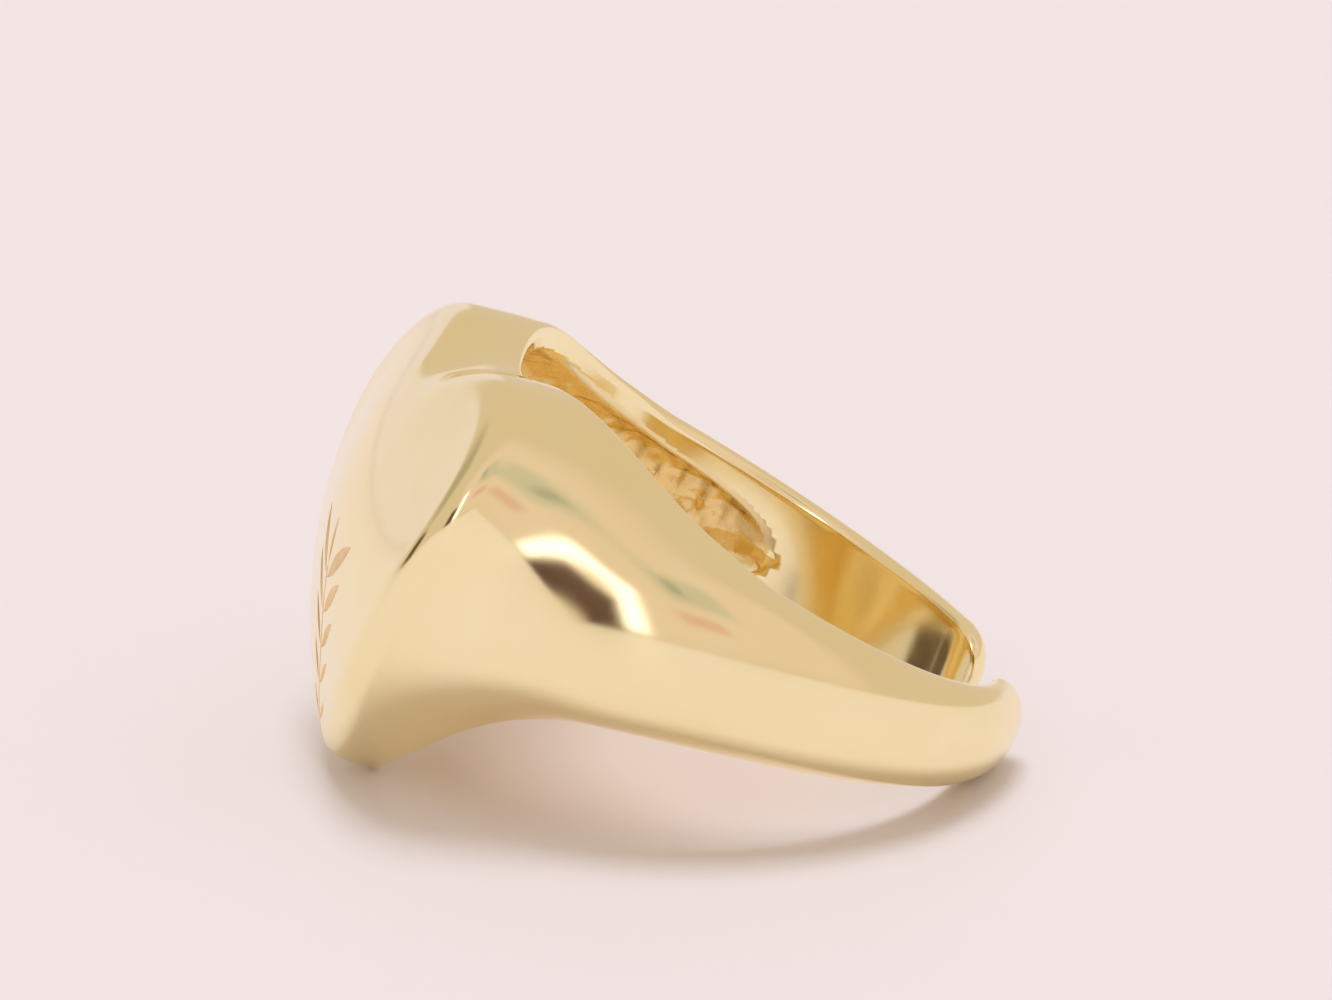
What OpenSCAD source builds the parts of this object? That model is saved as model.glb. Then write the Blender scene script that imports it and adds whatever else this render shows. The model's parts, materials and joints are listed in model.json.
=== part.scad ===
// Heart signet ring with a hollow-backed head and an open, adjustable shank.
// The ring lies on a table: it rests on the point of the heart and on the ends of its two arms.
// Ring frame: +X to the wearer's side, -Y out through the face of the heart, +Z along the finger bore.
// "a" is the distance from the bore axis towards the face, so a = -y.
// "t" is the angle around the bore, 0 at the head and 180 at the gap between the arms.

/* [Bore and shank] */
// Radius of the finger bore
bore_r = 8.6; // [8.2:0.1:9.2]
// Thickness of the shank at the gap
thick_back = 1.4; // [1.2:0.1:1.8]
// Thickness of the band where it meets the head
thick_head = 3.6; // [3.2:0.1:3.9]
// How quickly the band thickens towards the head
thick_power = 1.8; // [1.4:0.1:2.2]
// Height of the band's upper edge at the gap, above the middle of the bore
top_back = 1.8; // [1.6:0.1:2.2]
// Height of the band's upper edge at the head
top_head = 5.9; // [5.4:0.1:6.2]
// How quickly the upper edge climbs towards the head
top_power = 1.17; // [1.0:0.01:1.6]
// Depth of the band's lower edge at the gap, below the middle of the bore
bottom_back = 1.22; // [1.1:0.02:1.6]
// Depth of the band's lower edge at the head
bottom_head = 3.84; // [3.4:0.02:4.2]
// How quickly the lower edge drops towards the head
bottom_power = 3.9; // [3.0:0.1:4.5]
// Half angle at which each arm ends, measured from the head
arm_end = 169; // [165:1:172]

/* [Heart] */
// Distance of each lobe's centre from the middle
lobe_x = 4.26; // [4.0:0.02:4.4]
// Height of the lobe centres
lobe_z = 2.8; // [2.6:0.1:3.0]
// Radius of each lobe
lobe_r = 3.6; // [3.5:0.05:3.7]
// Height of the heart's point, a negative number
tip_z = -7.8; // [-8.0:0.1:-7.4]
// Angle at which the lobe's arc hands over to the long side arc
side_angle = -15; // [-18:1:-12]
// Distance from the bore axis to the highest point of the domed face
crown = 12.2; // [12.0:0.1:12.6]
// Radius of the dome from lobe to point
dome_z_r = 14.9; // [14:0.1:18]
// Radius of the dome from side to side
dome_x_r = 80; // [60:1:100]

/* [Joints] */
// Thickness of the face plate at its middle
plate_thick = 1.15; // [1.0:0.05:1.3]
// Angle around the bore where the head ends and each arm starts
seam_angle = 118; // [117:1:122]
// Radius of the round end by which an arm sits in the head
knuckle_r = 0.95; // [0.9:0.01:1.0]
// Running clearance around the round end
knuckle_gap = 0.04; // [0.03:0.01:0.06]

/* [Hollow] */
// Width of the polished rim above the hollow
rim_top = 0.95; // [0.9:0.05:1.3]
// Width of the polished rim below the hollow
rim_bottom = 0.8; // [0.7:0.05:1.1]
// Thickness of the wall left outside the hollow in the band
wall = 1.05; // [1.0:0.05:1.2]
// Angle around the bore where the hollow ends
hollow_end = 113; // [108:1:113]

/* [Engraving] */
// Depth of the engraved sprig
engrave_depth = 0.14; // [0.1:0.01:0.2]

/* [Hidden] */
gold = [0.87, 0.75, 0.50];
warm_gold = [0.83, 0.66, 0.36];

lean = 20.55;               // the head is tipped up by this angle in the resting pose
dome_centre_z = -0.47;      // height of the dome's highest point
edge_round = 0.8;           // rounding between the face and the walls of the heart
head_blend = 1.67;          // fillet between the heart and the band
notch_blend = 2.0;          // fillet at the bottom of the cleft between the lobes
bevel = 0.25;               // flat part of the band's edge beside the bore
section_power = 2.2;        // squareness of the band's section
heart_depth = 2.5;          // the heart's walls run back to this distance from the bore axis
end_round = 1.5;            // rounding at the end of each arm
plate_seat_r = dome_z_r - plate_thick;
seat_a = crown - plate_thick;
section_steps = 22;         // points across the outside of the band
face_round_steps = 72;      // points around the face plate
spine_r = bore_r + 0.15;    // sections are measured out from here
inner_r = bore_r - 0.6;     // the blanks reach in to here before the bore is cut
inner_slope = 0.2;          // fall of the rims over that distance, which eases the edge of the bore

// ---- Shape of the outside, as a signed distance that is negative inside the metal ----

function smooth_min(a, b, k) = let (h = max(k - abs(a - b), 0) / k) min(a, b) - h * h * k / 4;
function smooth_max(a, b, k) = -smooth_min(-a, -b, k);
function headness(t) = (1 + cos(t)) / 2;
function mix(back, head, t, power) = back + (head - back) * pow(headness(t), power);
function band_top(t) = mix(top_back, top_head, t, top_power);
function band_bottom(t) = mix(bottom_back, bottom_head, t, bottom_power);
function band_thick(t) = mix(thick_back, thick_head, t, thick_power);

function band_gap(r, t, z) =
    let (top = band_top(t), bottom = band_bottom(t), half = (top + bottom) / 2)
    let (depth = band_thick(t) - bevel, out = max(r - bore_r - bevel, 0) / depth)
    let (up = abs(z - (top - bottom) / 2) / half)
    (sqrt(pow(up, section_power) + out * out) - 1) * min(depth, half);

// The side arc is tangent to the lobe at side_angle and passes through the point of the heart.
side_dir = [cos(side_angle), sin(side_angle)];
to_tip = [-lobe_x, tip_z - lobe_z];
side_extra = (to_tip * to_tip - lobe_r * lobe_r) / (2 * (lobe_r - to_tip * side_dir));
side_r = lobe_r + side_extra;
side_centre = [lobe_x, lobe_z] - side_extra * side_dir;

function heart_gap(x, z) =
    let (px = sqrt(x * x + 0.0625) - lobe_x, pz = z - lobe_z)
    let (lobe = norm([px, pz]) - lobe_r)
    let (side = norm([px + lobe_x, z] - side_centre) - side_r)
    let (body = max(side, side_dir[0] * pz - side_dir[1] * px))
    px >= 0 ? min(lobe, body) : smooth_min(lobe, body, max(0.01, -px / lobe_x * notch_blend));

function face_a(x, z) =
    crown - x * x / (2 * dome_x_r) - pow(z - dome_centre_z, 2) / (2 * dome_z_r);

function head_gap(x, a, z) =
    max(smooth_max(heart_gap(x, z), a - face_a(x, z), edge_round), heart_depth - a);

function skin_gap(x, a, z) =
    smooth_min(head_gap(x, a, z), band_gap(norm([x, a]), atan2(x, a), z), head_blend);

// Distance past the end of an arm, for either arm.
function end_gap(x, a) = abs(x) * cos(arm_end) - a * sin(arm_end);

function ring_gap(p) =
    p[1] > 0 ? skin_gap(p[0], p[1], p[2])
             : smooth_max(skin_gap(p[0], p[1], p[2]), end_gap(p[0], p[1]), end_round);

// ---- Points on the outside, found by walking out along a line until it leaves the metal ----

stride = 0.8;
function walk(p, d, far) =
    far > 16 || ring_gap(p + d * (far + stride)) > 0 ? far : walk(p, d, far + stride);
function halve(p, d, near, far, n) =
    let (mid = (near + far) / 2)
    n == 0 ? mid : ring_gap(p + d * mid) > 0 ? halve(p, d, near, mid, n - 1)
                                             : halve(p, d, mid, far, n - 1);
function reach(p, d) = let (near = walk(p, d, 0)) halve(p, d, near, near + stride, 11);

function polar(r, t, z) = [r * sin(t), r * cos(t), z];
function spine_z(t) = (band_top(t) - band_bottom(t)) / 2 * (1 - headness(t));
function skin_point(t, lift) =
    let (start = polar(spine_r, t, spine_z(t)))
    let (d = polar(cos(lift), t, sin(lift)))
    start + d * reach(start, d);
function edge_z(r, t, sign) =
    let (start = polar(r, t, spine_z(t))) spine_z(t) + sign * reach(start, [0, 0, sign]);

// Turns [x, a, z] into [x, y, z].
function flip(p) = [p[0], -p[1], p[2]];
function flat(lists) = [for (list = lists) for (item = list) item];

function mean(list) = [for (p = list) 1] * list / len(list);

// A closed solid through equal rings of points. Each end is closed by a fan about its middle.
module loft(rings) {
    n = len(rings[0]);
    last = (len(rings) - 1) * n;
    hub = len(rings) * n;
    quads = [for (i = [0 : len(rings) - 2]) for (j = [0 : n - 1])
        let (a = i * n + j, b = i * n + (j + 1) % n) [[a, b, b + n], [a, b + n, a + n]]];
    caps = [for (j = [0 : n - 1]) let (k = (j + 1) % n) [[hub, k, j], [hub + 1, last + j, last + k]]];
    hubs = [mean(rings[0]), mean(rings[len(rings) - 1])];
    polyhedron(points = [for (p = concat(flat(rings), hubs)) flip(p)], faces = flat(concat(quads, caps)));
}

// One section of the ring's outside, closed across the inside of the bore.
function section(t) =
    let (skin = [for (i = [0 : section_steps]) skin_point(t, -90 + 180 * i / section_steps)])
    let (low = skin[0][2] + inner_slope, high = skin[section_steps][2] - inner_slope)
    concat([polar(inner_r, t, low)], skin, [polar(inner_r, t, high)]);

module blank(angles) {
    loft([for (t = angles) section(t)]);
}

module bore(r = bore_r) {
    cylinder(r = r, h = 40, center = true, $fn = 180);
}

// ---- Seats and joints ----

// Everything behind the curved seat of the face plate.
module behind_seat() {
    translate([0, -(seat_a - plate_seat_r), dome_centre_z]) rotate([0, 90, 0])
        cylinder(r = plate_seat_r, h = 40, center = true, $fn = 180);
}

knuckle_at = bore_r + band_thick(seam_angle) / 2;
module knuckle(side, r) {
    translate([side * knuckle_at * sin(seam_angle), -knuckle_at * cos(seam_angle), 0])
        cylinder(r = r, h = 20, center = true, $fn = 64);
}

// The half of space on the head's side of a seam.
module ahead_of_seam(side, set_back = 0) {
    rotate([0, 0, side * (seam_angle - 90)]) translate([side * 10, -10 + set_back, 0])
        cube([18, 20, 30], center = true);
}

// ---- Hollow under the head, running on into both shoulders ----

hollow_side = 5.9;          // the hollow's half width where it is deepest
hollow_lip_r = bore_r - 0.3; // the floor of the hollow rises to this radius at its two ends
hollow_inner_r = bore_r - 1.3; // the cutter starts here, well inside the bore
function hollow_fade(t) = sqrt(max(0, 1 - pow(abs(t) / hollow_end, 12)));
function hollow_reach(t) =
    let (band_r = bore_r + (band_thick(t) - wall))
    let (front_r = (seat_a + 0.3) / max(cos(t), 0.01), side_r = hollow_side / max(abs(sin(t)), 0.01))
    let (head_r = smooth_min(front_r, side_r, 1.2))
    let (r = cos(t) > 0 ? smooth_max(band_r, head_r, 0.6) : band_r)
    hollow_lip_r + (r - hollow_lip_r) * hollow_fade(t);
function hollow_edge(r, t, sign) =
    let (rim = sign > 0 ? rim_top + 0.35 * (1 - headness(t)) : rim_bottom + 0.8 * pow(headness(t), 8))
    let (middle = spine_z(t))
    middle + (edge_z(max(r, bore_r), t, sign) - sign * rim - middle) * hollow_fade(t);
function hollow_section(t) =
    let (floor_r = hollow_reach(t))
    let (radii = [hollow_inner_r, (bore_r + floor_r) / 2, floor_r])
    concat([for (r = radii) polar(r, t, hollow_edge(r, t, -1))],
           [for (i = [2 : -1 : 0]) polar(radii[i], t, hollow_edge(radii[i], t, 1))]);

module hollow() {
    n = 21;
    loft([for (i = [-n : n]) hollow_section(hollow_end * sin(90 * i / n) * 0.999)]);
}

// ---- Engraved sprig: a stem with paired leaves that widen upwards, a plain ornament ----

sprig_foot = [0, -7.4];     // foot of the stem on the face, [x, z]
leaf_pairs = 5;
leaf_spacing = 1.1;
leaf_turn = 52;             // angle between a leaf and the stem
first_leaf = 1.2;           // length of the lowest leaves
leaf_growth = 0.4;          // each pair is this much longer than the one below
line_w = 0.22;

module leaf(length) {
    width = length * 0.22;
    r = (length * length + width * width) / (4 * width);
    intersection() {
        translate([length / 2, r - width / 2]) circle(r = r, $fn = 64);
        translate([length / 2, width / 2 - r]) circle(r = r, $fn = 64);
    }
}

// Cuts a flat drawing into the face, square to the dome at the point [x, z].
module engrave_at(x, z) {
    translate([x, -face_a(x, z), z])
        rotate([atan((dome_centre_z - z) / dome_z_r), 0, atan(x / dome_x_r)]) rotate([90, 0, 0])
            translate([0, 0, -engrave_depth]) linear_extrude(height = 1) children();
}

module engraved_leaf(foot, turn, length) {
    middle = foot + [cos(turn), sin(turn)] * length / 2;
    engrave_at(middle[0], middle[1]) rotate(turn) translate([-length / 2, 0]) leaf(length);
}

module sprig() {
    for (i = [1 : leaf_pairs]) {
        knot = sprig_foot + [0, leaf_spacing * i];
        engrave_at(0, knot[1] - leaf_spacing / 2)
            square([line_w, leaf_spacing + 0.06], center = true);
        for (side = [-1, 1]) engraved_leaf(knot + [side * 0.16, -0.25], 90 - side * leaf_turn,
            first_leaf + leaf_growth * (i - 1));
    }
    engraved_leaf(sprig_foot + [0, leaf_spacing * leaf_pairs], 90, first_leaf + 0.4);
}

// ---- Sub-parts in the ring frame ----

// The blank of the face plate: rays from a point behind the middle of the heart.
ray_origin = [0, 8, -0.5];
ray_lifts = [2, 6, 9, 12, 14, 16, 18, 20, 22, 24, 26, 28, 31, 36, 44, 55, 68, 80];
function ray_point(turn, lift) =
    let (d = [cos(lift) * cos(turn), sin(lift), cos(lift) * sin(turn)])
    ray_origin + d * reach(ray_origin, d);

module face_blank() {
    turns = [for (i = [0 : face_round_steps - 1]) -360 * i / face_round_steps];
    loft([for (lift = ray_lifts) [for (turn = turns) ray_point(turn, lift)]]);
}

// The pad behind the plate drops into the hollow's mouth and centres the plate.
pad_scale = 0.62;
pad_depth = 0.45;
function heart_reach(turn, r = 9) =
    heart_gap(r * cos(turn), -0.5 + r * sin(turn)) < 0 ? r : heart_reach(turn, r - 0.05);

module pad() {
    outline = [for (turn = [0 : 6 : 354])
        [cos(turn), sin(turn)] * heart_reach(turn) * pad_scale + [0, -0.5]];
    intersection() {
        rotate([90, 0, 0]) linear_extrude(height = seat_a) polygon(outline);
        difference() {
            translate([0, -seat_a, 0]) cube([20, 6, 20], center = true);
            translate([0, pad_depth, 0]) behind_seat();
        }
    }
}

module signet_face_ring() {
    difference() {
        union() {
            difference() {
                face_blank();
                behind_seat();
            }
            pad();
        }
        sprig();
    }
}

module head_shell_ring() {
    steps = 36;
    difference() {
        intersection() {
            blank([for (i = [-steps : steps]) seam_angle * i / steps]);
            behind_seat();
        }
        bore();
        hollow();
        for (side = [-1, 1]) knuckle(side, knuckle_r + knuckle_gap);
    }
}

module arm_ring(side) {
    steps = 16;
    start = seam_angle - 8;
    angles = [for (i = [0 : steps]) start + (arm_end - 0.35 - start) * sin(90 * i / steps)];
    ordered = side > 0 ? angles : [for (i = [steps : -1 : 0]) -angles[i]];
    difference() {
        blank(ordered);
        bore();
        difference() {
            ahead_of_seam(side, knuckle_gap);
            knuckle(side, knuckle_r);
        }
    }
}

// ---- Resting pose ----

// Lowest and foremost points of the ring once it is tipped back by the lean.
tipped = [for (t = [-arm_end + 1 : 2 : arm_end - 1]) for (p = section(t))
    if (norm([p[0], p[1]]) >= bore_r)
        [-p[1] * cos(lean) + p[2] * sin(lean), p[1] * sin(lean) + p[2] * cos(lean)]];
lift = -min([for (p = tipped) p[1]]);
shift = -(min([for (p = tipped) p[0]]) + max([for (p = tipped) p[0]])) / 2;

module rest() {
    translate([0, shift, lift]) rotate([-lean, 0, 0]) children();
}

module signet_face() {
    color(gold) rest() signet_face_ring();
}

module head_shell() {
    color(warm_gold) rest() head_shell_ring();
}

module left_arm() {
    color(gold) rest() arm_ring(-1);
}

module right_arm() {
    color(gold) rest() arm_ring(1);
}

signet_face();
head_shell();
left_arm();
right_arm();
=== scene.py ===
import json
import math

import bpy
import numpy as np
from mathutils import Matrix, Vector


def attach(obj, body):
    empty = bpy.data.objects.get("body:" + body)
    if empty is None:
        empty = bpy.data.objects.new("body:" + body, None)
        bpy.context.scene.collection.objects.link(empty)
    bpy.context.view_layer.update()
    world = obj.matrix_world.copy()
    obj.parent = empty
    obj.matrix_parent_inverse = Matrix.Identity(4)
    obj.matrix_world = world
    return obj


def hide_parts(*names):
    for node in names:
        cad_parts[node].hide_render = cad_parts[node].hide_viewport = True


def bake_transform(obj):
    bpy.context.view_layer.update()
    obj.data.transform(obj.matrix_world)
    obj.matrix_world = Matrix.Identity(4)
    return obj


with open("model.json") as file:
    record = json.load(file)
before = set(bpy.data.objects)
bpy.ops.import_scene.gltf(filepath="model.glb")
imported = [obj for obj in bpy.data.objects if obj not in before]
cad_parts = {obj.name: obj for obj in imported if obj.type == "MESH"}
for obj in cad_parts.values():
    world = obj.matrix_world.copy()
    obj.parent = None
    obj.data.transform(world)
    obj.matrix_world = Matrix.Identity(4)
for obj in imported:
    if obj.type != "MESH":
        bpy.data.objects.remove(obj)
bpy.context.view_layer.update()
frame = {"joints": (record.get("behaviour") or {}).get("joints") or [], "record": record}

record = frame["record"]

# ---- Sizes of the ring, in millimetres and degrees, in the ring's own frame ----
# x to the wearer's side, a from the bore's axis towards the face, z along the bore.
# t is the angle around the bore, 0 at the head and 180 at the gap.

MM = 0.001
BORE_R = record["mounts"][0]["dims"]["r_mm"]

# The band: its values at the gap and at the head, and how fast it changes between them
THICK_BACK, THICK_HEAD, THICK_POWER = 1.4, 3.6, 1.8
TOP_BACK, TOP_HEAD, TOP_POWER = 1.8, 5.9, 1.17
BOTTOM_BACK, BOTTOM_HEAD, BOTTOM_POWER = 1.22, 3.84, 3.9
BEVEL = 0.25
SECTION_POWER = 2.2         # squareness of the band's section
ARM_END = 169.0             # angle at which each arm ends
END_ROUND = 1.5
SEAM_ANGLE = 118.0          # angle at which the head ends and each arm starts

# The heart and its domed face
LOBE_X, LOBE_Z, LOBE_R = 4.26, 2.8, 3.6
TIP_Z = -7.8
SIDE_ANGLE = -15.0          # where a lobe's arc hands over to the long side arc
MIDDLE_SOFT = 0.25          # softening of the heart's outline across its middle plane
CROWN = 12.2
DOME_Z_R, DOME_X_R, DOME_CENTRE_Z = 14.9, 80.0, -0.47
HEART_DEPTH = 2.5           # distance from the bore's axis to the back of the head
EDGE_ROUND, HEAD_BLEND, NOTCH_BLEND = 0.8, 1.67, 2.0    # at the face's edge, band and notch
BACK_ROUND = 1.4            # rounding where the back of the head runs into the band
PLATE_THICK = 1.15
PLATE_SEAT_R = DOME_Z_R - PLATE_THICK
SEAT_A = CROWN - PLATE_THICK

# The hollow
WALL = 1.05                 # metal left outside the hollow in the band
LEAST_WALL = 0.6            # the hollow keeps this far from the outside
HOLLOW_END = 113.0          # angle at which it ends
FADE_POWER = 12             # how abruptly it ends
HOLLOW_SIDE = 5.9           # half its width behind the face
LIP = 0.3                   # it starts this far inside the bore's wall
SEAT_OVERLAP = 0.3          # it reaches this far into the place of the face plate
SIDE_ROUND = 1.2            # rounding between its floor and its sides
SHOULDER_ROUND = 0.6        # rounding between the head's hollow and the shoulders'
CORNER_ROUND = 0.9          # rounding along the bottom
MOUTH_ROUND = 0.3           # softening of its mouth
RIM_TOP, RIM_TOP_GROWTH = 0.95, 0.35
RIM_BOTTOM, RIM_BOTTOM_GROWTH, RIM_BOTTOM_POWER = 0.8, 0.8, 8
RIM_ROUND = 0.34            # softening of the bore's edges
LEAST = 0.01                # keeps a divisor away from zero

# The ripples of the cast surface
CAST_WAVES = 14
CAST_HEIGHT = 0.03
CAST_SEED = 7
CAST_SLOW, CAST_FAST = 3.5, 11.0        # radians per millimetre
CAST_START, CAST_FULL = 0.15, 0.8       # depths at which they begin and reach full height

# The meshes
HALF_SECTIONS = 115         # sections from the middle of the head to a seam
OUTER_POINTS = 120          # points across the outside of a section
INNER_POINTS = 84           # points across the inside
RAYS = 361                  # rays traced to find a section's surface
END_CROWDING = 0.75         # how much closer together points lie at the ends of a section
HUB_DEPTH = 1.2             # the inside is traced from this far inside the bore's wall
ARM_STEPS = 44              # sections along an arm
CAP_SHARES = 0.9, 0.78, 0.64, 0.48, 0.32, 0.16     # sizes of the rings that close its end

# ---- The row frame's place for the ring frame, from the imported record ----

bore = record["mounts"][0]
bore_axis = Vector(bore["axis"]).normalized()
side_axis = Vector((1, 0, 0))
back_axis = bore_axis.cross(side_axis).normalized()
ring_basis = Matrix((side_axis, -back_axis, bore_axis)).transposed()
ring_matrix = Matrix.Translation(bore["pos_m"]) @ (ring_basis * MM).to_4x4()


# ---- Shape of the metal, as a signed distance that is negative inside ----

def cosd(t):
    return np.cos(np.radians(t))


def sind(t):
    return np.sin(np.radians(t))


def smooth_min(p, q, k):
    h = np.maximum(k - np.abs(p - q), 0) / k
    return np.minimum(p, q) - h * h * k / 4


def smooth_max(p, q, k):
    return -smooth_min(-p, -q, k)


def smooth_step(low, high, value):
    s = np.clip((value - low) / (high - low), 0, 1)
    return s * s * (3 - 2 * s)


def mix(back, head, headness, power):
    return back + (head - back) * headness ** power


def band_top(headness):
    return mix(TOP_BACK, TOP_HEAD, headness, TOP_POWER)


def band_bottom(headness):
    return mix(BOTTOM_BACK, BOTTOM_HEAD, headness, BOTTOM_POWER)


def band_thick(headness):
    return mix(THICK_BACK, THICK_HEAD, headness, THICK_POWER)


def headness_at(t):
    return (1 + cosd(t)) / 2


def spine_z(headness):
    return (band_top(headness) - band_bottom(headness)) / 2 * (1 - headness)


def band_gap(x, a, z):
    r = np.hypot(x, a)
    headness = (1 + a / np.maximum(r, 1e-6)) / 2
    top, bottom = band_top(headness), band_bottom(headness)
    half = (top + bottom) / 2
    depth = band_thick(headness) - BEVEL
    out = np.maximum(r - BORE_R - BEVEL, 0) / depth
    up = np.abs(z - (top - bottom) / 2) / half
    return (np.sqrt(up ** SECTION_POWER + out * out) - 1) * np.minimum(depth, half)


side_dir = np.array([cosd(SIDE_ANGLE), sind(SIDE_ANGLE)])
to_tip = np.array([-LOBE_X, TIP_Z - LOBE_Z])
side_extra = (to_tip @ to_tip - LOBE_R ** 2) / (2 * (LOBE_R - to_tip @ side_dir))
side_r = LOBE_R + side_extra
side_centre = np.array([LOBE_X, LOBE_Z]) - side_extra * side_dir


def heart_gap(x, z):
    px = np.sqrt(x * x + MIDDLE_SOFT ** 2) - LOBE_X
    pz = z - LOBE_Z
    lobe = np.hypot(px, pz) - LOBE_R
    side = np.hypot(px + LOBE_X - side_centre[0], z - side_centre[1]) - side_r
    above = side_dir[0] * pz - side_dir[1] * px
    blend = np.maximum(LEAST, -px / LOBE_X * NOTCH_BLEND)
    notch = smooth_min(lobe, np.maximum(side, above), blend)
    return np.where(px >= 0, np.where(above > 0, lobe, side), notch)


def face_a(x, z):
    return CROWN - x * x / (2 * DOME_X_R) - (z - DOME_CENTRE_Z) ** 2 / (2 * DOME_Z_R)


def skin_gap(x, a, z):
    head = smooth_max(heart_gap(x, z), a - face_a(x, z), EDGE_ROUND)
    head = smooth_max(head, HEART_DEPTH - a, BACK_ROUND)
    return smooth_min(head, band_gap(x, a, z), HEAD_BLEND)


def end_gap(x, a):
    return np.abs(x) * cosd(ARM_END) - a * sind(ARM_END)


def edge_height(r, t, sign):
    """Height of the skin straight above or below the spine, at radius r."""
    x, a = r * sind(t), r * cosd(t)
    start = spine_z(headness_at(t))
    reach = trace(skin_gap, (x, a, start), (0 * x, 0 * x, sign + 0 * x))
    return start + sign * reach


# ---- Hollow under the head ----

def hollow_reach(t):
    """Radius of the hollow's floor."""
    headness = headness_at(t)
    front = np.maximum(cosd(t), LEAST)
    aside = np.maximum(np.abs(sind(t)), LEAST)
    band_r = BORE_R + band_thick(headness) - WALL
    head_r = smooth_min((SEAT_A + SEAT_OVERLAP) / front, HOLLOW_SIDE / aside, SIDE_ROUND)
    r = np.where(cosd(t) > 0, smooth_max(band_r, head_r, SHOULDER_ROUND), band_r)
    lip = BORE_R - LIP
    return lip + (r - lip) * hollow_fade(t)


def hollow_fade(t):
    return np.sqrt(np.maximum(0, 1 - (np.abs(t) / HOLLOW_END) ** FADE_POWER))


# The hollow's two edges vary along the band and with depth.
# They are worked out once, as tables over t and r.
TABLE_SPAN, TABLE_TURNS, TABLE_DEPTHS = 125.0, 501, 24
table_t = np.linspace(-TABLE_SPAN, TABLE_SPAN, TABLE_TURNS)


def hollow_edge(r, t, sign):
    """Height of the hollow's upper or lower edge."""
    headness = headness_at(t)
    if sign > 0:
        rim = RIM_TOP + RIM_TOP_GROWTH * (1 - headness)
    else:
        rim = RIM_BOTTOM + RIM_BOTTOM_GROWTH * headness ** RIM_BOTTOM_POWER
    middle = spine_z(headness)
    return middle + (edge_height(r, t, sign) - sign * rim - middle) * hollow_fade(t)


wave_rng = np.random.default_rng(CAST_SEED)
wave_k = wave_rng.normal(size=(CAST_WAVES, 3))
wave_rate = wave_rng.uniform(CAST_SLOW, CAST_FAST, CAST_WAVES)
wave_k *= (wave_rate / np.linalg.norm(wave_k, axis=1))[:, None]
wave_phase = wave_rng.uniform(0, 2 * np.pi, CAST_WAVES)


def cast_ripple(x, a, z):
    total = 0
    for (kx, ka, kz), phase in zip(wave_k, wave_phase):
        total = total + np.sin(kx * x + ka * a + kz * z + phase)
    return total * CAST_HEIGHT * math.sqrt(2 / CAST_WAVES)


def hollow_gap(x, a, z):
    t = np.degrees(np.arctan2(x, a))
    r = np.hypot(x, a)
    turn = np.clip((t + TABLE_SPAN) / (2 * TABLE_SPAN), 0, 1) * (TABLE_TURNS - 1.001)
    i = turn.astype(int)
    u = turn - i
    floor = hollow_floor[i] * (1 - u) + hollow_floor[i + 1] * u
    deep = np.maximum(floor - BORE_R, 0.05)
    depth = np.clip((r - BORE_R) / deep, 0, 1) * (TABLE_DEPTHS - 1.001)
    j = depth.astype(int)
    v = depth - j
    low, high = [
        (table[i, j] * (1 - u) + table[i + 1, j] * u) * (1 - v)
        + (table[i, j + 1] * (1 - u) + table[i + 1, j + 1] * u) * v
        for table in (hollow_low, hollow_high)]
    gap = smooth_max(np.maximum(low - z, z - high), r - floor, CORNER_ROUND)
    return smooth_max(gap, skin_gap(x, a, z) + LEAST_WALL, MOUTH_ROUND)


def cut_gap(x, a, z):
    """Negative in the bore and in the hollow."""
    r = np.hypot(x, a)
    inside = smooth_step(CAST_START, CAST_FULL, r - BORE_R)
    cast = hollow_gap(x, a, z) + cast_ripple(x, a, z) * inside
    return smooth_min(cast, r - BORE_R, MOUTH_ROUND)


def bore_gap(x, a, z):
    return np.hypot(x, a) - BORE_R


def shell_gap(x, a, z):
    return smooth_max(skin_gap(x, a, z), -cut_gap(x, a, z), RIM_ROUND)


def solid_gap(x, a, z):
    return smooth_max(skin_gap(x, a, z), -bore_gap(x, a, z), RIM_ROUND)


def arm_gap(x, a, z):
    return smooth_max(solid_gap(x, a, z), end_gap(x, a), END_ROUND)


# ---- Points on a surface ----

def trace(gap, start, direction, steps=60):
    """Distance from each start, inside the shape, to its surface."""
    far = 0 * direction[0] + 0.0
    for _ in range(steps):
        value = gap(*[s + d * far for s, d in zip(start, direction)])
        far = far - value * 0.8
    return far


def gradient(gap, p, step=1e-4):
    """Unit normals of the gap's level surfaces, and the gap's slope along them."""
    x, a, z = p.T
    n = np.stack([
        gap(x + step, a, z) - gap(x - step, a, z),
        gap(x, a + step, z) - gap(x, a - step, z),
        gap(x, a, z + step) - gap(x, a, z - step)], 1)
    length = np.linalg.norm(n, axis=1, keepdims=True)
    return n / np.maximum(length, 1e-12), length[:, 0] / (2 * step)


def settle(gap, p, turns=30):
    """Moves points onto the surface."""
    for _ in range(turns):
        n, slope = gradient(gap, p)
        p = p - n * (gap(*p.T) / np.maximum(slope, 0.4))[:, None]
    return p


def settle_in_section(gap, p, turns=10):
    """Moves points onto the surface, each within its own half plane through the bore's axis."""
    around = np.stack([p[:, 1], -p[:, 0], 0 * p[:, 0]], 1)
    around /= np.linalg.norm(around, axis=1, keepdims=True)
    for _ in range(turns):
        n, slope = gradient(gap, p)
        n -= around * np.einsum("ij,ij->i", n, around)[:, None]
        square = np.maximum(np.einsum("ij,ij->i", n, n), 0.15)
        p = p - n * (gap(*p.T) / (square * np.maximum(slope, 0.4)))[:, None]
    return p


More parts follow.
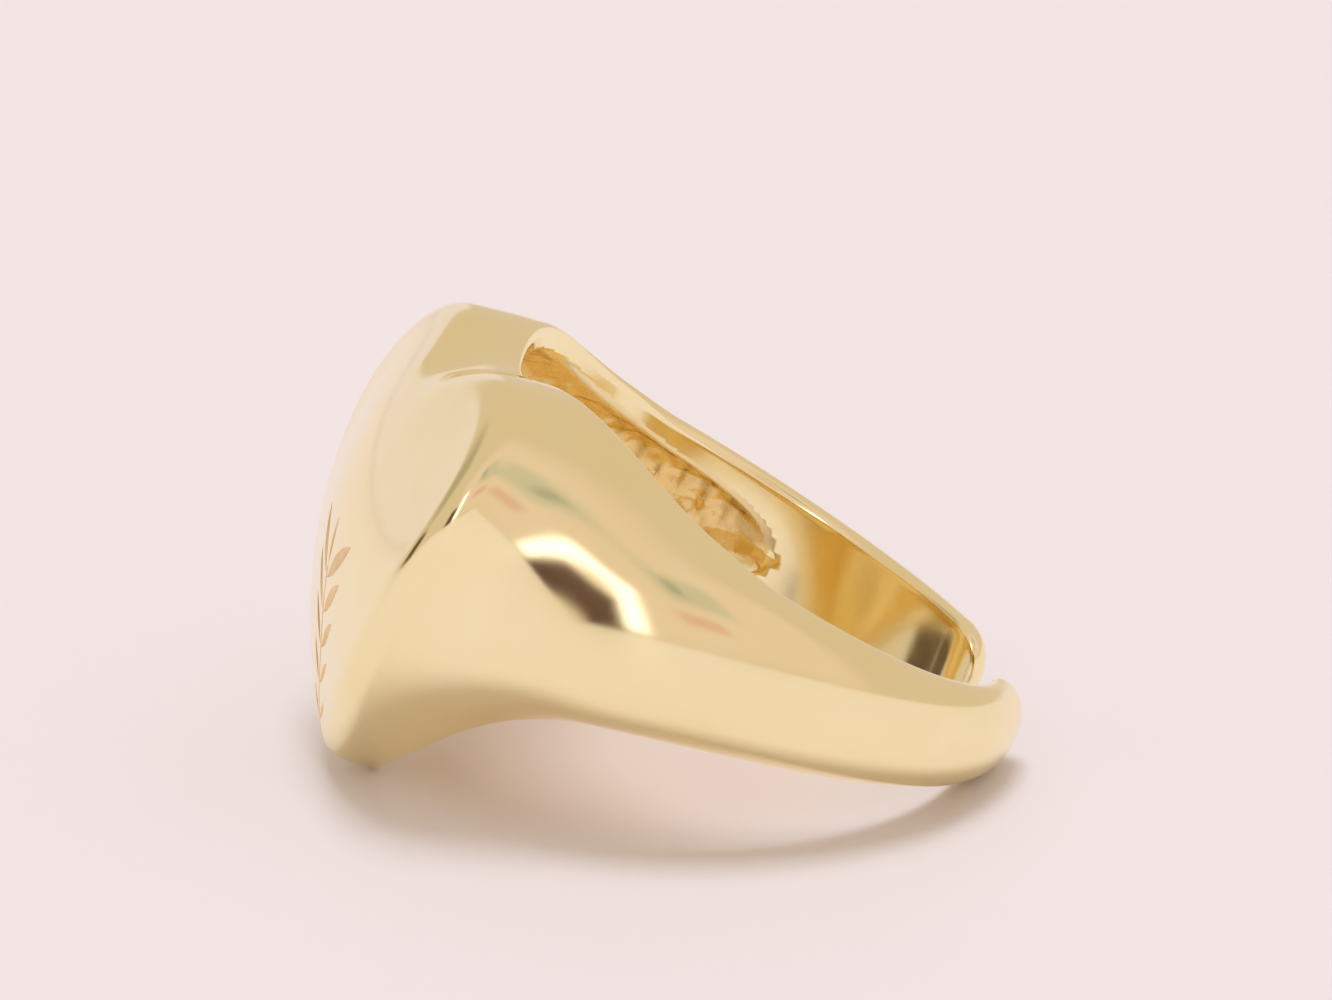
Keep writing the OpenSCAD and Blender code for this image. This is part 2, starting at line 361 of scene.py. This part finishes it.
hollow_floor = hollow_reach(table_t)
table_r = BORE_R + np.linspace(0, 1, TABLE_DEPTHS) * np.maximum(hollow_floor - BORE_R, 0)[:, None]
hollow_low, hollow_high = [hollow_edge(table_r, table_t[:, None], sign) for sign in (-1, 1)]


def resample(points, count, ends):
    """Evenly spaced points along each row, closer together at both ends by the share ends."""
    step = np.linalg.norm(np.diff(points, axis=1), axis=2)
    along = np.concatenate([np.zeros((len(points), 1)), np.cumsum(step, axis=1)], 1)
    s = np.linspace(0, 1, count)
    s = s - ends * np.sin(2 * np.pi * s) / (2 * np.pi)
    out = np.empty((len(points), count, 3))
    for i, (row, length) in enumerate(zip(points, along)):
        for c in range(3):
            out[i, :, c] = np.interp(s * length[-1], length, row[:, c])
    return out


def polar(r, t, z):
    return r * sind(t), r * cosd(t), z


def sections(angles, inner):
    """Closed rings of points around the metal's section at each angle.

    inner is the shape cut from the inside.
    """
    t = np.asarray(angles, float)[:, None]
    spine = spine_z(headness_at(t))
    lift = np.linspace(-90, 90, RAYS)[None, :]
    start = polar(BORE_R + 0 * lift, t, spine + 0 * lift)
    d = polar(cosd(lift), t, sind(lift) + 0 * t)
    far = trace(skin_gap, start, d)
    outer = np.stack([s + v * far for s, v in zip(start, d)], 2)
    low, high = outer[:, :1, 2], outer[:, -1:, 2]
    centre_r = BORE_R - HUB_DEPTH
    climb = np.linspace(0, 1, RAYS)[None, :]
    lift_low = np.degrees(np.arctan2(low - spine, BORE_R - centre_r))
    lift_high = np.degrees(np.arctan2(high - spine, BORE_R - centre_r))
    lift = lift_high + (lift_low - lift_high) * climb
    start = polar(centre_r + 0 * lift, t, spine + 0 * lift)
    d = polar(cosd(lift), t, sind(lift))
    far = trace(inner, start, d)
    inside = np.stack([s + v * far for s, v in zip(start, d)], 2)
    outer = resample(outer, OUTER_POINTS, END_CROWDING)
    inside = resample(inside, INNER_POINTS, END_CROWDING)
    return np.concatenate([outer, inside[:, 1:-1]], 1)


# ---- Meshes ----

def loft_mesh(name, rings):
    """A closed mesh through equal rings of points, its ends closed by fans."""
    count, n = rings.shape[:2]
    points = rings.reshape(-1, 3)
    j = np.arange(n)
    k = (j + 1) % n
    quads = [
        np.stack([i * n + j, i * n + k, (i + 1) * n + k, (i + 1) * n + j], 1)
        for i in range(count - 1)]
    faces = [tuple(f) for f in np.concatenate(quads).tolist()]
    hub = len(points)
    last = (count - 1) * n
    faces += [(hub, q, p) for p, q in zip(j.tolist(), k.tolist())]
    faces += [(hub + 1, last + p, last + q) for p, q in zip(j.tolist(), k.tolist())]
    hubs = np.array([rings[0].mean(0), rings[-1].mean(0)])
    mesh = bpy.data.meshes.new(name)
    mesh.from_pydata(np.concatenate([points, hubs]).tolist(), [], faces)
    mesh.validate()
    return mesh


def link(name, mesh):
    obj = bpy.data.objects.new(name, mesh)
    bpy.context.scene.collection.objects.link(obj)
    return obj


def drop(obj):
    mesh = obj.data
    bpy.data.objects.remove(obj)
    bpy.data.meshes.remove(mesh)


def combine(obj, tool, operation):
    """Boolean of obj with tool, applied."""
    cut = obj.modifiers.new("cut", "BOOLEAN")
    cut.solver = "MANIFOLD"
    cut.operation = operation
    cut.object = tool
    bpy.context.view_layer.update()
    graph = bpy.context.evaluated_depsgraph_get()
    mesh = bpy.data.meshes.new_from_object(obj.evaluated_get(graph))
    old = obj.data
    obj.modifiers.clear()
    obj.data = mesh
    bpy.data.meshes.remove(old)


def outward(mesh):
    """Turns the faces so that the mesh's volume is positive."""
    mesh.calc_loop_triangles()
    co = np.array([v.co for v in mesh.vertices])
    tri = np.array([t.vertices[:] for t in mesh.loop_triangles])
    p, q, r = co[tri[:, 0]], co[tri[:, 1]], co[tri[:, 2]]
    if np.einsum("ij,ij->i", p, np.cross(q, r)).sum() < 0:
        mesh.flip_normals()


def cylinder_mesh(name, radius, half, centre_a, centre_z, count=720):
    """A closed cylinder along x."""
    turn = np.radians(np.arange(count) * 360 / count)
    a = centre_a + radius * np.cos(turn)
    z = centre_z + radius * np.sin(turn)
    ring = np.stack([0 * turn, a, z], 1)
    rings = np.stack([ring + [x, 0, 0] for x in (-half, 0, half)])
    mesh = loft_mesh(name, rings)
    outward(mesh)
    return mesh


# Sections lie closer together around the middle of the heart.
spread = np.linspace(-1, 1, 2 * HALF_SECTIONS + 1)
head_angles = SEAM_ANGLE * (0.5 * spread + 0.5 * spread ** 3)


def head_solid(name, inner, gap):
    """The whole head between the two seams, with inner cut from the inside."""
    rings = sections(head_angles, inner)
    skin, inside = rings[:, :OUTER_POINTS], rings[:, OUTER_POINTS:]
    skin = settle_in_section(solid_gap, skin.reshape(-1, 3)).reshape(skin.shape)
    inside = settle_in_section(gap, inside.reshape(-1, 3)).reshape(inside.shape)
    mesh = loft_mesh(name, np.concatenate([skin, inside], 1))
    outward(mesh)
    return link(name, mesh)


def arm_solid(name, side):
    """An arm from the seam to its round end, closed across the end by shrinking rings."""
    share = np.sin(np.radians(90 * np.arange(ARM_STEPS + 1) / ARM_STEPS))
    angles = SEAM_ANGLE + (ARM_END - SEAM_ANGLE) * share
    rings = sections(side * angles, bore_gap)
    hub = rings[-1].mean(0)
    caps = [hub + (rings[-1] - hub) * s for s in CAP_SHARES]
    rings = np.concatenate([rings, np.array(caps)])
    points = settle_in_section(solid_gap, rings.reshape(-1, 3)).reshape(rings.shape)
    points[-len(caps):] = rings[-len(caps):]
    outer_half = points[ARM_STEPS // 2:]
    points[ARM_STEPS // 2:] = settle(arm_gap, outer_half.reshape(-1, 3)).reshape(outer_half.shape)
    if side < 0:
        points = points[:, ::-1]
    mesh = loft_mesh(name, points)
    outward(mesh)
    return link(name, mesh)


# ---- Engraved sprig on the face ----

SPRIG_FOOT, SPRIG_TOP, SPRIG_HALF = -7.4, 0.5, 3.2
LEAF_PAIRS, LEAF_SPACING, LEAF_TURN = 5, 1.1, 52.0
FIRST_LEAF, LEAF_GROWTH = 1.2, 0.4      # length of the lowest leaves, and how much each pair adds
LEAF_WIDTH = 0.2            # width of a leaf for its length
LEAF_ASIDE, LEAF_BELOW = 0.16, 0.25     # a side leaf's foot, from its place on the stem
TOP_LEAF_RISE = 0.12
STEM_WIDTH, STEM_DEPTH = 0.22, 0.1
STEM_TAPER = 0.5            # length over which the stem narrows to its foot
ENGRAVE_DEPTH = 0.14        # depth of a leaf at its middle
OVERCUT = 0.12              # height of a graver's cut above the surface
LEAF_POINTS, STEM_POINTS = 25, 40
LEAST_WIDTH, LEAST_DEPTH = 0.02, 0.01   # what is left of a leaf's cut at its tips
SKIN_STEPS = 12             # steps from the plain dome to the real skin


def face_point(x, z, out):
    """A point over the face, out millimetres along its normal."""
    a = face_a(x, z)
    for _ in range(SKIN_STEPS):
        a = a - skin_gap(x, a, z)
    n = np.stack([x / DOME_X_R, 1 + 0 * x, (z - DOME_CENTRE_Z) / DOME_Z_R], -1)
    n /= np.linalg.norm(n, axis=-1, keepdims=True)
    return np.stack([x, a, z], -1) + n * np.asarray(out)[..., None]


def graver_cut(name, path, width, depth):
    """A V-shaped cut along path, which is [x, z] points on the face."""
    path = np.asarray(path, float)
    along = np.gradient(path, axis=0)
    along /= np.linalg.norm(along, axis=1, keepdims=True)
    across = np.stack([along[:, 1], -along[:, 0]], 1)
    flare = width * (1 + OVERCUT / np.maximum(depth, 1e-3))
    left, right = path + across * flare[:, None] / 2, path - across * flare[:, None] / 2
    rings = np.stack([
        face_point(left[:, 0], left[:, 1], OVERCUT + 0 * width),
        face_point(path[:, 0], path[:, 1], -depth),
        face_point(right[:, 0], right[:, 1], OVERCUT + 0 * width)], 1)
    mesh = loft_mesh(name, rings)
    outward(mesh)
    return link(name, mesh)


def leaf_cut(name, foot, turn, length):
    """A cut that is widest and deepest halfway along."""
    s = np.linspace(0.02, 0.98, LEAF_POINTS)
    d = np.array([cosd(turn), sind(turn)])
    path = foot + d * (s * length)[:, None]
    swell = 4 * s * (1 - s)
    width = length * LEAF_WIDTH * swell + LEAST_WIDTH
    return graver_cut(name, path, width, ENGRAVE_DEPTH * swell + LEAST_DEPTH)


def sprig_cuts():
    top = SPRIG_FOOT + LEAF_SPACING * LEAF_PAIRS
    z = np.linspace(SPRIG_FOOT, top + 0.1, STEM_POINTS)
    taper = np.clip((z - SPRIG_FOOT) / STEM_TAPER, 0.1, 1)
    yield graver_cut("stem", np.stack([0 * z, z], 1), STEM_WIDTH * taper, STEM_DEPTH * taper)
    for i in range(1, LEAF_PAIRS + 1):
        length = FIRST_LEAF + LEAF_GROWTH * (i - 1)
        for side in (-1, 1):
            foot = np.array([side * LEAF_ASIDE, SPRIG_FOOT + LEAF_SPACING * i - LEAF_BELOW])
            yield leaf_cut("leaf", foot, 90 - side * LEAF_TURN, length)
    yield leaf_cut("leaf", np.array([0, top + TOP_LEAF_RISE]), 90, FIRST_LEAF + LEAF_GROWTH)


# ---- Materials ----

def node(tree, kind, **inputs):
    made = tree.nodes.new(kind)
    for key, value in inputs.items():
        made.inputs[key.replace("_", " ")].default_value = value
    return made


def gold(name, light, deep, *, rough, grain, bump, bump_scale, distance):
    """Gold whose colour, roughness and surface vary with the metal's own position."""
    made = bpy.data.materials.new(name)
    made.use_nodes = True
    tree = made.node_tree
    shader = tree.nodes["Principled BSDF"]
    shader.inputs["Metallic"].default_value = 1.0
    where = tree.nodes.new("ShaderNodeTexCoord")
    clouds = node(tree, "ShaderNodeTexNoise", Scale=260.0, Detail=3.0, Roughness=0.55)
    fine = node(tree, "ShaderNodeTexNoise", Scale=bump_scale, Detail=4.0, Roughness=0.6)
    for noise_node in (clouds, fine):
        tree.links.new(where.outputs["Object"], noise_node.inputs["Vector"])
    colours = tree.nodes.new("ShaderNodeValToRGB")
    colours.color_ramp.elements[0].position = 0.3
    colours.color_ramp.elements[0].color = (*deep, 1)
    colours.color_ramp.elements[1].position = 0.7
    colours.color_ramp.elements[1].color = (*light, 1)
    tree.links.new(clouds.outputs["Fac"], colours.inputs["Fac"])
    tree.links.new(colours.outputs["Color"], shader.inputs["Base Color"])
    span = node(tree, "ShaderNodeMapRange", From_Min=0.3, From_Max=0.7,
                To_Min=rough - grain, To_Max=rough + grain)
    tree.links.new(fine.outputs["Fac"], span.inputs["Value"])
    tree.links.new(span.outputs["Result"], shader.inputs["Roughness"])
    relief = node(tree, "ShaderNodeBump", Strength=bump, Distance=distance)
    tree.links.new(fine.outputs["Fac"], relief.inputs["Height"])
    tree.links.new(relief.outputs["Normal"], shader.inputs["Normal"])
    return made


polished = gold("polished_gold", (1.0, 0.90, 0.56), (0.98, 0.865, 0.51),
                rough=0.12, grain=0.02, bump=0.05, bump_scale=900.0, distance=0.00002)
cast = gold("cast_gold", (1.0, 0.83, 0.43), (0.95, 0.74, 0.33),
            rough=0.24, grain=0.08, bump=0.5, bump_scale=1600.0, distance=0.00006)
graved = gold("graved_gold", (0.93, 0.71, 0.36), (0.80, 0.56, 0.24),
              rough=0.32, grain=0.08, bump=0.4, bump_scale=2600.0, distance=0.00003)


# ---- Finishing a piece: its place, its normals and its materials ----

ON_SURFACE = 0.012          # a vertex this near the surface counts as on it
SAME_WAY = 0.5              # a face counts as on the surface if it turns this way with it
NO_EDGE = 0.85              # faces that turn together this much are shaded as one
HOLLOW_NEAR = 0.05          # a face this near the hollow's wall is left as cast
HOLLOW_DEPTH = 0.16         # the polish runs this far into the hollow's mouth


def finish_piece(obj, gap, outer_gap, materials, pick):
    """Brings obj into the row frame, with exact normals where it lies on the surface of a gap.

    Faces off the surface, such as seams and cuts, keep their own normals, softened between
    neighbours that turn almost the same way.
    """
    mesh = obj.data
    count = len(mesh.vertices)
    co = np.empty(count * 3)
    mesh.vertices.foreach_get("co", co)
    co = co.reshape(-1, 3)
    loops = np.empty(len(mesh.loops), int)
    mesh.loops.foreach_get("vertex_index", loops)
    starts = np.array([p.loop_start for p in mesh.polygons])
    sizes = np.array([p.loop_total for p in mesh.polygons])
    owner = np.repeat(np.arange(len(starts)), sizes)
    flat_n = np.array([p.normal for p in mesh.polygons])
    centre = np.array([p.center for p in mesh.polygons])
    area = np.array([p.area for p in mesh.polygons])
    exact, at_centre = [
        np.where((np.abs(solid_gap(*p.T)) < ON_SURFACE)[:, None],
                 gradient(outer_gap, p)[0], gradient(gap, p)[0])
        for p in (co, centre)]
    vertex_on = np.minimum(np.abs(gap(*co.T)), np.abs(outer_gap(*co.T))) < ON_SURFACE
    all_on = np.ones(len(starts), bool)
    np.logical_and.at(all_on, owner, vertex_on[loops])
    on_surface = all_on & (np.einsum("ij,ij->i", flat_n, at_centre) > SAME_WAY)
    plain = np.zeros((count, 3))
    off = ~on_surface[owner]
    np.add.at(plain, loops[off], (flat_n * area[:, None])[owner[off]])
    facet = np.einsum("ij,ij->i", plain[loops], flat_n[owner])
    facet /= np.linalg.norm(plain[loops], axis=1) + 1e-20
    normals = flat_n[owner]
    soft = off & (facet > NO_EDGE)
    normals[soft] = plain[loops[soft]]
    normals[~off] = exact[loops[~off]]
    normals /= np.linalg.norm(normals, axis=1, keepdims=True) + 1e-20
    mesh.transform(ring_matrix)
    mesh.flip_normals()     # x, a, z is a left-handed frame
    # Flipping turned each face's corners around, so the normals are matched to them again.
    flipped = np.empty(len(mesh.loops), int)
    mesh.loops.foreach_get("vertex_index", flipped)
    same = np.empty_like(normals)
    same[np.argsort(owner * count + flipped)] = normals[np.argsort(owner * count + loops)]
    mesh.materials.clear()
    for material in materials:
        mesh.materials.append(material)
    mesh.polygons.foreach_set("material_index", pick(centre, on_surface).astype(np.int32))
    mesh.polygons.foreach_set("use_smooth", np.ones(len(starts), bool))
    mesh.normals_split_custom_set((same @ np.array(ring_basis).T).tolist())
    mesh.update()


def pick_shell(centre, on_surface):
    r = np.hypot(centre[:, 0], centre[:, 1])
    inside = (np.abs(cut_gap(*centre.T)) < HOLLOW_NEAR) & (r > BORE_R + HOLLOW_DEPTH)
    return np.where(inside, 1, 0)


def pick_face(centre, on_surface):
    x, a, z = centre.T
    front = a > face_a(x, z) - ENGRAVE_DEPTH * 1.3
    in_sprig = (np.abs(x) < SPRIG_HALF) & (z > SPRIG_FOOT - 0.2) & (z < SPRIG_TOP)
    return np.where(front & in_sprig & ~on_surface, 1, np.where(on_surface, 0, 2))


def pick_plain(centre, on_surface):
    return np.zeros(len(centre), int)


# ---- The pieces: a face plate on a hollow shell, and two arms ----

# The face plate's curved back, as a cylinder that runs past the ring on both sides
SEAT_HALF = 20
seat_centre = SEAT_A - PLATE_SEAT_R
seat = link("seat", cylinder_mesh("seat", PLATE_SEAT_R, SEAT_HALF, seat_centre, DOME_CENTRE_Z))

shell = head_solid("shell", cut_gap, shell_gap)
combine(shell, seat, "INTERSECT")
face = head_solid("face", bore_gap, solid_gap)
combine(face, seat, "DIFFERENCE")
for tool in list(sprig_cuts()):
    combine(face, tool, "DIFFERENCE")
    drop(tool)
drop(seat)
arms = {"left_arm": arm_solid("left_arm_metal", -1), "right_arm": arm_solid("right_arm_metal", 1)}

finish_piece(face, solid_gap, solid_gap, [polished, graved, cast], pick_face)
finish_piece(shell, shell_gap, solid_gap, [polished, cast], pick_shell)
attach(face, "head")
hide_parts("signet_face")
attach(shell, "head")
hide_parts("head_shell")
for joint in frame["joints"]:
    body = joint["child"]
    piece = arms[body]
    finish_piece(piece, arm_gap, arm_gap, [polished], pick_plain)
    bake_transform(piece)
    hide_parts(body)

# ---- Floor, light and camera ----

# Metres and degrees, in the row frame
AZIMUTH, ELEVATION = 80.8, 17.8
DISTANCE = 0.25
VIEW_WIDTH = 0.041664       # width of the view at the ring
SENSOR = 36                 # the camera's own unit is the millimetre
AIM = Vector((0, 0.0017, 0.00584))
AIM_LEFT, AIM_UP = 0.0016, 0.0023       # the view's middle, from that point


def view_axes():
    az, el = math.radians(AZIMUTH), math.radians(ELEVATION)
    back = Vector((math.sin(az) * math.cos(el), -math.cos(az) * math.cos(el), math.sin(el)))
    right = Vector((0, 0, 1)).cross(back).normalized()
    return right, back.cross(right), back


right, up, back = view_axes()
aim = AIM - right * AIM_LEFT + up * AIM_UP
camera_data = bpy.data.cameras.new("camera")
camera_data.sensor_width = SENSOR
camera_data.sensor_fit = "HORIZONTAL"
camera_data.lens = SENSOR * DISTANCE / VIEW_WIDTH
camera_data.clip_start = 0.01
camera = link("camera", camera_data)
turned = Matrix((right, up, back)).transposed().to_4x4()
camera.matrix_world = Matrix.Translation(aim + back * DISTANCE) @ turned
bpy.context.scene.camera = camera
bpy.context.scene.view_settings.view_transform = "Standard"

FLOOR_HALF = 1.5
# The floor is even paper, but a warm glow is painted into its colour around the ring. This
# painted light stands in for the light that the gold reflects onto it.
PAPER_COLOUR, PAINTED_GLOW_COLOUR = (0.85, 0.83, 0.89), (0.95, 0.68, 0.38)
PAINTED_GLOW_NEAR, PAINTED_GLOW_FAR, PAINTED_GLOW_STRENGTH = 0.004, 0.012, 0.25
# A mix node has sockets for each kind of value; these are the ones for colours.
MIX_A, MIX_B, MIX_RESULT = 6, 7, 2


def paper_material():
    """Matt paper, with a painted glow: the faint warm light that the metal throws around itself,
    painted into the paper's colour.
    """
    made = bpy.data.materials.new("paper")
    made.use_nodes = True
    tree = made.node_tree
    shader = tree.nodes["Principled BSDF"]
    shader.inputs["Roughness"].default_value = 0.6
    place = tree.nodes.new("ShaderNodeTexCoord")
    spread = tree.nodes.new("ShaderNodeVectorMath")
    spread.operation = "LENGTH"
    tree.links.new(place.outputs["Object"], spread.inputs[0])
    # Share of the painted glow: full close to the floor's middle under the ring, none farther out
    painted_glow_share = node(tree, "ShaderNodeMapRange", From_Min=PAINTED_GLOW_FAR, From_Max=PAINTED_GLOW_NEAR, To_Max=PAINTED_GLOW_STRENGTH)
    painted_glow_share.interpolation_type = "SMOOTHSTEP"
    tree.links.new(spread.outputs["Value"], painted_glow_share.inputs["Value"])
    blend = tree.nodes.new("ShaderNodeMix")
    blend.data_type = "RGBA"
    blend.inputs[MIX_A].default_value = (*PAPER_COLOUR, 1)
    blend.inputs[MIX_B].default_value = (*PAINTED_GLOW_COLOUR, 1)
    tree.links.new(painted_glow_share.outputs["Result"], blend.inputs["Factor"])
    tree.links.new(blend.outputs[MIX_RESULT], shader.inputs["Base Color"])
    return made


floor_mesh = bpy.data.meshes.new("floor")
around_floor = (-1, -1), (1, -1), (1, 1), (-1, 1)
floor_corners = [(x * FLOOR_HALF, y * FLOOR_HALF, 0) for x, y in around_floor]
floor_mesh.from_pydata(floor_corners, [], [(0, 1, 2, 3)])
link("floor", floor_mesh)
floor_mesh.materials.append(paper_material())

world = bpy.data.worlds.new("studio")
bpy.context.scene.world = world
world.use_nodes = True
sky = world.node_tree
backdrop = sky.nodes["Background"]
sky_dir = sky.nodes.new("ShaderNodeTexCoord").outputs["Generated"]


def sky_math(kind, *values):
    made = sky.nodes.new("ShaderNodeMath")
    made.operation = kind
    for socket, value in zip(made.inputs, values):
        if isinstance(value, (int, float)):
            socket.default_value = value
        else:
            sky.links.new(value, socket)
    return made.outputs[0]


def sky_dot(vector):
    made = sky.nodes.new("ShaderNodeVectorMath")
    made.operation = "DOT_PRODUCT"
    sky.links.new(sky_dir, made.inputs[0])
    made.inputs[1].default_value = vector
    return made.outputs["Value"]


def fade(value, inner, outer):
    """1 up to inner, and 0 from outer on."""
    made = sky.nodes.new("ShaderNodeMapRange")
    made.interpolation_type = "SMOOTHSTEP"
    sky.links.new(value, made.inputs["Value"])
    made.inputs["From Min"].default_value = outer
    made.inputs["From Max"].default_value = inner
    return made.outputs["Result"]


def over_sky(mask, under, colour):
    made = sky.nodes.new("ShaderNodeMix")
    made.data_type = "RGBA"
    sky.links.new(mask, made.inputs["Factor"])
    sky.links.new(under, made.inputs[MIX_A])
    made.inputs[MIX_B].default_value = (*colour, 1)
    return made.outputs[MIX_RESULT]


def panel(azimuth, elevation, half_w, half_h, soft, colour, under):
    """Lays a soft-edged panel of this colour over the sky. All its sizes are angles."""
    az, el = math.radians(azimuth), math.radians(elevation)
    ahead = Vector((math.sin(az) * math.cos(el), math.cos(az) * math.cos(el), math.sin(el)))
    across = Vector((0, 0, 1)).cross(ahead).normalized()
    over = ahead.cross(across)
    depth = sky_math("MAXIMUM", sky_dot(ahead), 0.001)
    u = sky_math("ABSOLUTE", sky_math("DIVIDE", sky_dot(across), depth))
    v = sky_math("ABSOLUTE", sky_math("DIVIDE", sky_dot(over), depth))
    w, h, edge = [math.tan(math.radians(angle)) for angle in (half_w, half_h, soft)]
    mask = sky_math("MULTIPLY", fade(u, max(w - edge, 0), w + edge),
                    fade(v, max(h - edge, 0), h + edge))
    return over_sky(mask, under, colour)


WALL_COLOUR = (0.70, 0.585, 0.48)
# Azimuth, elevation, half width, half height and soft edge, in degrees, then the colour.
PANELS = (
    (72, 34, 48, 34, 14, (0.80, 0.65, 0.58)),           # a broad warm wall
    (-108, 5, 27, 14, 3.5, (0.84, 0.75, 0.78)),         # what the heart's face reflects
    (77, 43, 13, 9, 4, (0.61, 0.57, 0.49)),             # a window
    (85, 44, 3, 4.5, 2, (0.42, 0.40, 0.35)),            # the bar across it
    (84, 22, 9, 4, 3, (0.74, 0.48, 0.42)),              # the pink sill under it
    (114.5, 17, 4, 15, 3, (1.9, 1.85, 1.95)),           # a bright strip
    (127, 7, 6.5, 12, 2.5, (0.11, 0.055, 0.045)),       # the dark object beside it
    (-147, 32, 14, 18, 10, (0.46, 0.40, 0.31)),         # the dim far corner
    (-158, 4, 9, 5, 2.5, (0.11, 0.07, 0.04)))           # the dark spot inside the far arm

layers = sky.nodes.new("ShaderNodeRGB").outputs[0]
layers.default_value = (*WALL_COLOUR, 1)
for *angles, colour in PANELS:
    layers = panel(*angles, colour, layers)
sky.links.new(layers, backdrop.inputs["Color"])
backdrop.inputs["Strength"].default_value = 1.0

LAMP_HEIGHT, LAMP_SIZE, LAMP_POWER = 1.2, 0.5, 5.8
LAMP_COLOUR = (0.93, 0.96, 1.03)
lamp_data = bpy.data.lights.new("overhead", "AREA")
lamp_data.size = LAMP_SIZE
lamp_data.energy = LAMP_POWER
lamp_data.color = LAMP_COLOUR
lamp = link("overhead", lamp_data)
lamp.visible_glossy = False
lamp.location = (0, 0, LAMP_HEIGHT)
